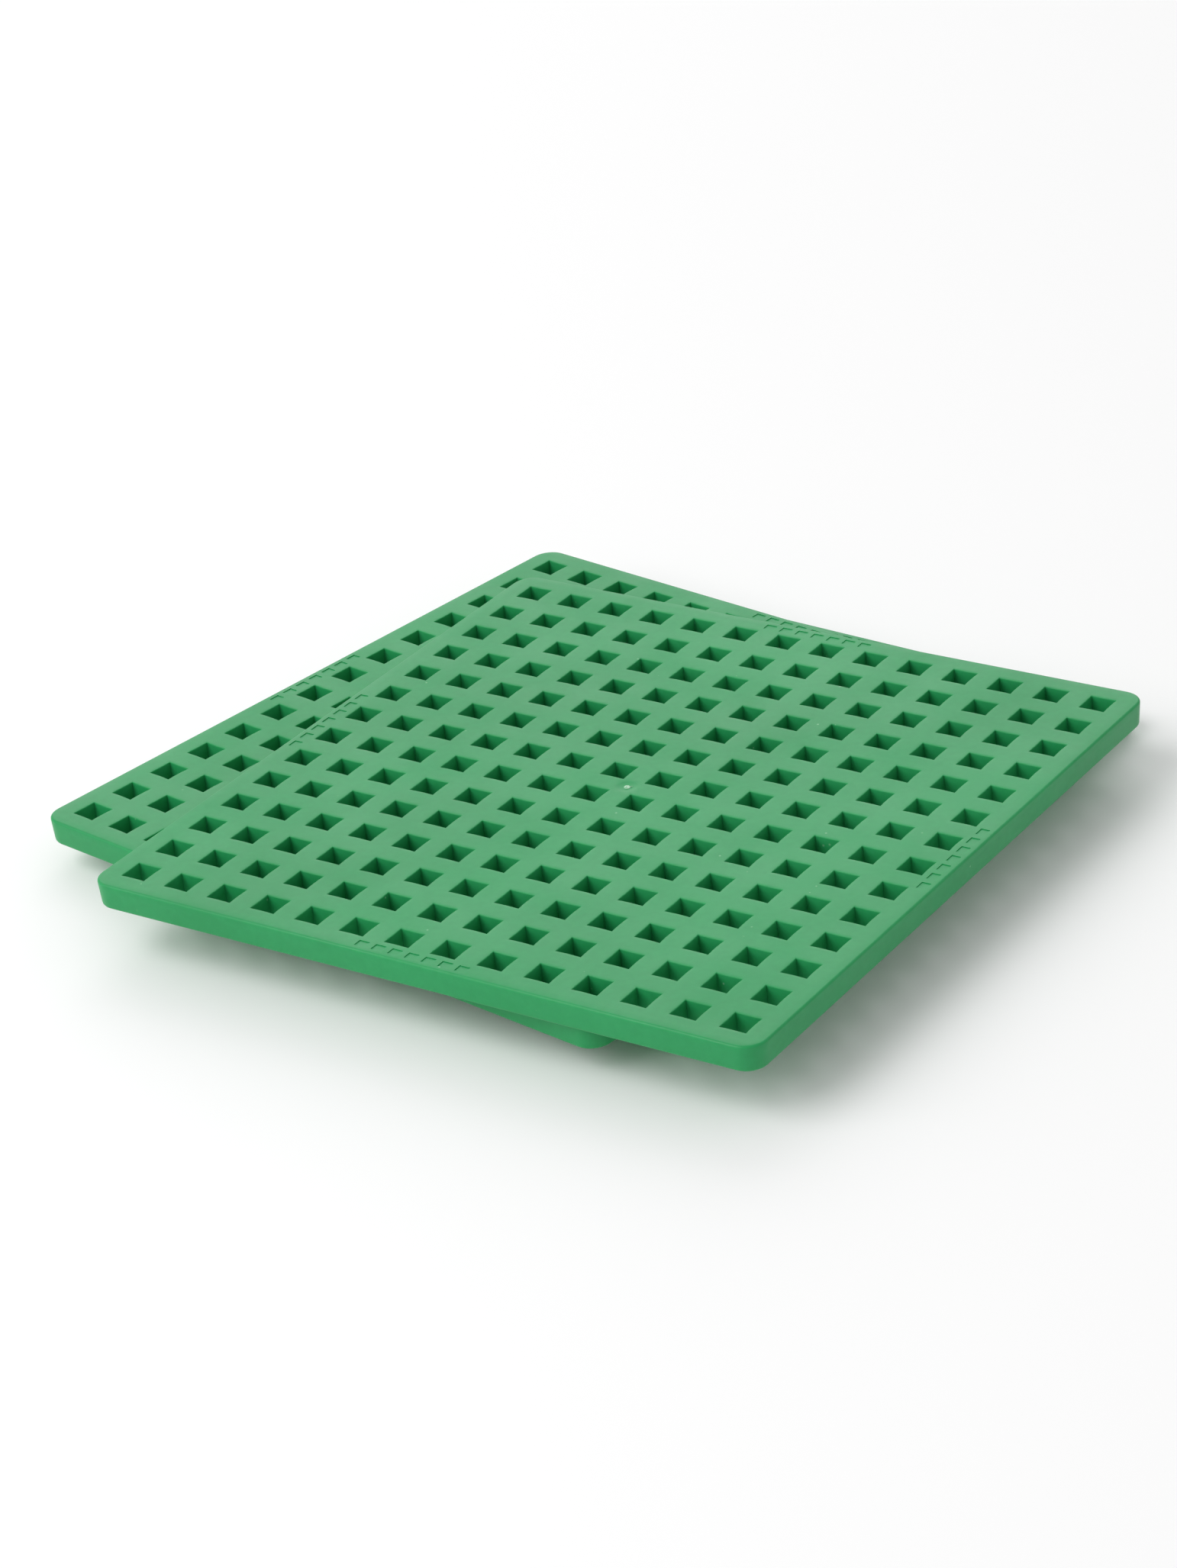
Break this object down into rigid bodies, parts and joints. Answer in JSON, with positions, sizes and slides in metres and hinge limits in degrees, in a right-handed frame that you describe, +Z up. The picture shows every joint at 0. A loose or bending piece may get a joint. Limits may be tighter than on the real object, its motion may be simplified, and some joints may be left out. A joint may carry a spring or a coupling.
{
  "type": "stack of peg plates",
  "caption": "Fanned stack of thin square green plastic plates with rounded corners, each with a regular grid of small square through sockets.",
  "frame": {"origin": "centre of the bottom plate's underside", "axes": "+Z up through the stack; X and Y parallel to the top plate's edges"},
  "size_m": [0.1408, 0.1359, 0.0126],
  "materials": {
    "green_plastic": "satin moulded plastic"
  },
  "bodies": {
    "bottom": {"bottom_plate": "green_plastic"},
    "middle": {"middle_plate": "green_plastic"},
    "top": {"top_plate": "green_plastic"}
  },
  "joints": [
    {"name": "middle_lift", "type": "slide", "parent": "bottom", "child": "middle", "axis": [0, 0, 1], "range_m": [0, 0.05]},
    {"name": "top_lift", "type": "slide", "parent": "middle", "child": "top", "axis": [0, 0, 1], "range_m": [0, 0.05]}
  ]
}
